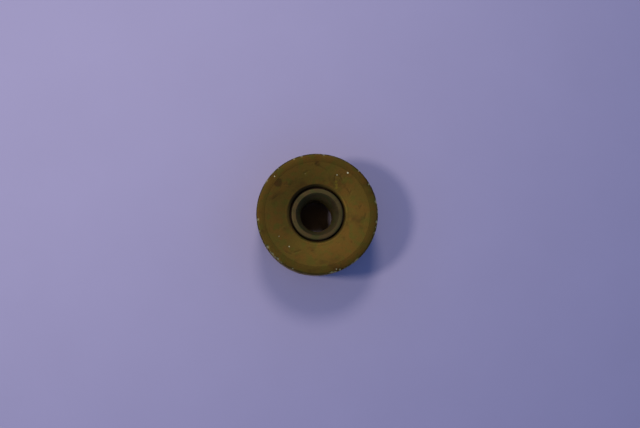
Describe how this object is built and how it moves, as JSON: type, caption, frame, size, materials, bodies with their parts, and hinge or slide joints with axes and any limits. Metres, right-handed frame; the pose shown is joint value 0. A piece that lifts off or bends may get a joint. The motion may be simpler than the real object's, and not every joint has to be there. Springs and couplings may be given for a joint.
{
  "type": "cam follower",
  "caption": "Short round yoke-type roller with dished faces and a flared through bore; its crowned outer ring turns on caged needle rollers around a fixed inner ring.",
  "frame": {"origin": "on the bore axis, at the middle of the width", "axes": "+Z along the bore axis, out of the face that is seen; X and Y are any two square directions across it"},
  "size_m": [0.022, 0.022, 0.012],
  "materials": {
    "black_oxide_steel": "worn olive-brown oxide, semi-matte, nicked outer edge",
    "plate_steel": "mottled olive-brown oxide, semi-matte",
    "ground_steel": "grey-brown ground face, satin",
    "needle_steel": "ground bright",
    "cage_steel": "satin",
    "thrust_bronze": "satin",
    "seal_rubber": "matte"
  },
  "bodies": {
    "hub": {"inner_ring": "ground_steel"},
    "roller": {"outer_ring": "black_oxide_steel", "side_plate_upper": "plate_steel", "side_plate_lower": "plate_steel", "seal_upper": "seal_rubber", "seal_lower": "seal_rubber", "thrust_washer_upper": "thrust_bronze", "thrust_washer_lower": "thrust_bronze"},
    "cage": {"needle_cage": "cage_steel"},
    "needle_01_body": {"needle_01": "needle_steel"},
    "needle_02_body": {"needle_02": "needle_steel"},
    "needle_03_body": {"needle_03": "needle_steel"},
    "needle_04_body": {"needle_04": "needle_steel"},
    "needle_05_body": {"needle_05": "needle_steel"},
    "needle_06_body": {"needle_06": "needle_steel"},
    "needle_07_body": {"needle_07": "needle_steel"},
    "needle_08_body": {"needle_08": "needle_steel"},
    "needle_09_body": {"needle_09": "needle_steel"},
    "needle_10_body": {"needle_10": "needle_steel"},
    "needle_11_body": {"needle_11": "needle_steel"},
    "needle_12_body": {"needle_12": "needle_steel"},
    "needle_13_body": {"needle_13": "needle_steel"},
    "needle_14_body": {"needle_14": "needle_steel"},
    "needle_15_body": {"needle_15": "needle_steel"},
    "needle_16_body": {"needle_16": "needle_steel"}
  },
  "joints": [
    {"name": "roller_spin", "type": "hinge", "parent": "hub", "child": "roller", "pos_m": [0, 0, 0], "axis": [0, 0, 1], "continuous": true},
    {"name": "cage_spin", "type": "hinge", "parent": "hub", "child": "cage", "pos_m": [0, 0, 0], "axis": [0, 0, 1], "continuous": true},
    {"name": "needle_01_spin", "type": "hinge", "parent": "cage", "child": "needle_01_body", "pos_m": [0.00655, 0, 0], "axis": [0, 0, 1], "continuous": true},
    {"name": "needle_02_spin", "type": "hinge", "parent": "cage", "child": "needle_02_body", "pos_m": [0.00605, 0.00251, 0], "axis": [0, 0, 1], "continuous": true},
    {"name": "needle_03_spin", "type": "hinge", "parent": "cage", "child": "needle_03_body", "pos_m": [0.00463, 0.00463, 0], "axis": [0, 0, 1], "continuous": true},
    {"name": "needle_04_spin", "type": "hinge", "parent": "cage", "child": "needle_04_body", "pos_m": [0.00251, 0.00605, 0], "axis": [0, 0, 1], "continuous": true},
    {"name": "needle_05_spin", "type": "hinge", "parent": "cage", "child": "needle_05_body", "pos_m": [0, 0.00655, 0], "axis": [0, 0, 1], "continuous": true},
    {"name": "needle_06_spin", "type": "hinge", "parent": "cage", "child": "needle_06_body", "pos_m": [-0.00251, 0.00605, 0], "axis": [0, 0, 1], "continuous": true},
    {"name": "needle_07_spin", "type": "hinge", "parent": "cage", "child": "needle_07_body", "pos_m": [-0.00463, 0.00463, 0], "axis": [0, 0, 1], "continuous": true},
    {"name": "needle_08_spin", "type": "hinge", "parent": "cage", "child": "needle_08_body", "pos_m": [-0.00605, 0.00251, 0], "axis": [0, 0, 1], "continuous": true},
    {"name": "needle_09_spin", "type": "hinge", "parent": "cage", "child": "needle_09_body", "pos_m": [-0.00655, 0, 0], "axis": [0, 0, 1], "continuous": true},
    {"name": "needle_10_spin", "type": "hinge", "parent": "cage", "child": "needle_10_body", "pos_m": [-0.00605, -0.00251, 0], "axis": [0, 0, 1], "continuous": true},
    {"name": "needle_11_spin", "type": "hinge", "parent": "cage", "child": "needle_11_body", "pos_m": [-0.00463, -0.00463, 0], "axis": [0, 0, 1], "continuous": true},
    {"name": "needle_12_spin", "type": "hinge", "parent": "cage", "child": "needle_12_body", "pos_m": [-0.00251, -0.00605, 0], "axis": [0, 0, 1], "continuous": true},
    {"name": "needle_13_spin", "type": "hinge", "parent": "cage", "child": "needle_13_body", "pos_m": [0, -0.00655, 0], "axis": [0, 0, 1], "continuous": true},
    {"name": "needle_14_spin", "type": "hinge", "parent": "cage", "child": "needle_14_body", "pos_m": [0.00251, -0.00605, 0], "axis": [0, 0, 1], "continuous": true},
    {"name": "needle_15_spin", "type": "hinge", "parent": "cage", "child": "needle_15_body", "pos_m": [0.00463, -0.00463, 0], "axis": [0, 0, 1], "continuous": true},
    {"name": "needle_16_spin", "type": "hinge", "parent": "cage", "child": "needle_16_body", "pos_m": [0.00605, -0.00251, 0], "axis": [0, 0, 1], "continuous": true}
  ],
  "couplings": [
    {"joint": "cage_spin", "follows": "roller_spin", "ratio": 0.56488},
    {"joint": "needle_01_spin", "follows": "roller_spin", "ratio": 3.7881},
    {"joint": "needle_02_spin", "follows": "roller_spin", "ratio": 3.7881},
    {"joint": "needle_03_spin", "follows": "roller_spin", "ratio": 3.7881},
    {"joint": "needle_04_spin", "follows": "roller_spin", "ratio": 3.7881},
    {"joint": "needle_05_spin", "follows": "roller_spin", "ratio": 3.7881},
    {"joint": "needle_06_spin", "follows": "roller_spin", "ratio": 3.7881},
    {"joint": "needle_07_spin", "follows": "roller_spin", "ratio": 3.7881},
    {"joint": "needle_08_spin", "follows": "roller_spin", "ratio": 3.7881},
    {"joint": "needle_09_spin", "follows": "roller_spin", "ratio": 3.7881},
    {"joint": "needle_10_spin", "follows": "roller_spin", "ratio": 3.7881},
    {"joint": "needle_11_spin", "follows": "roller_spin", "ratio": 3.7881},
    {"joint": "needle_12_spin", "follows": "roller_spin", "ratio": 3.7881},
    {"joint": "needle_13_spin", "follows": "roller_spin", "ratio": 3.7881},
    {"joint": "needle_14_spin", "follows": "roller_spin", "ratio": 3.7881},
    {"joint": "needle_15_spin", "follows": "roller_spin", "ratio": 3.7881},
    {"joint": "needle_16_spin", "follows": "roller_spin", "ratio": 3.7881}
  ]
}
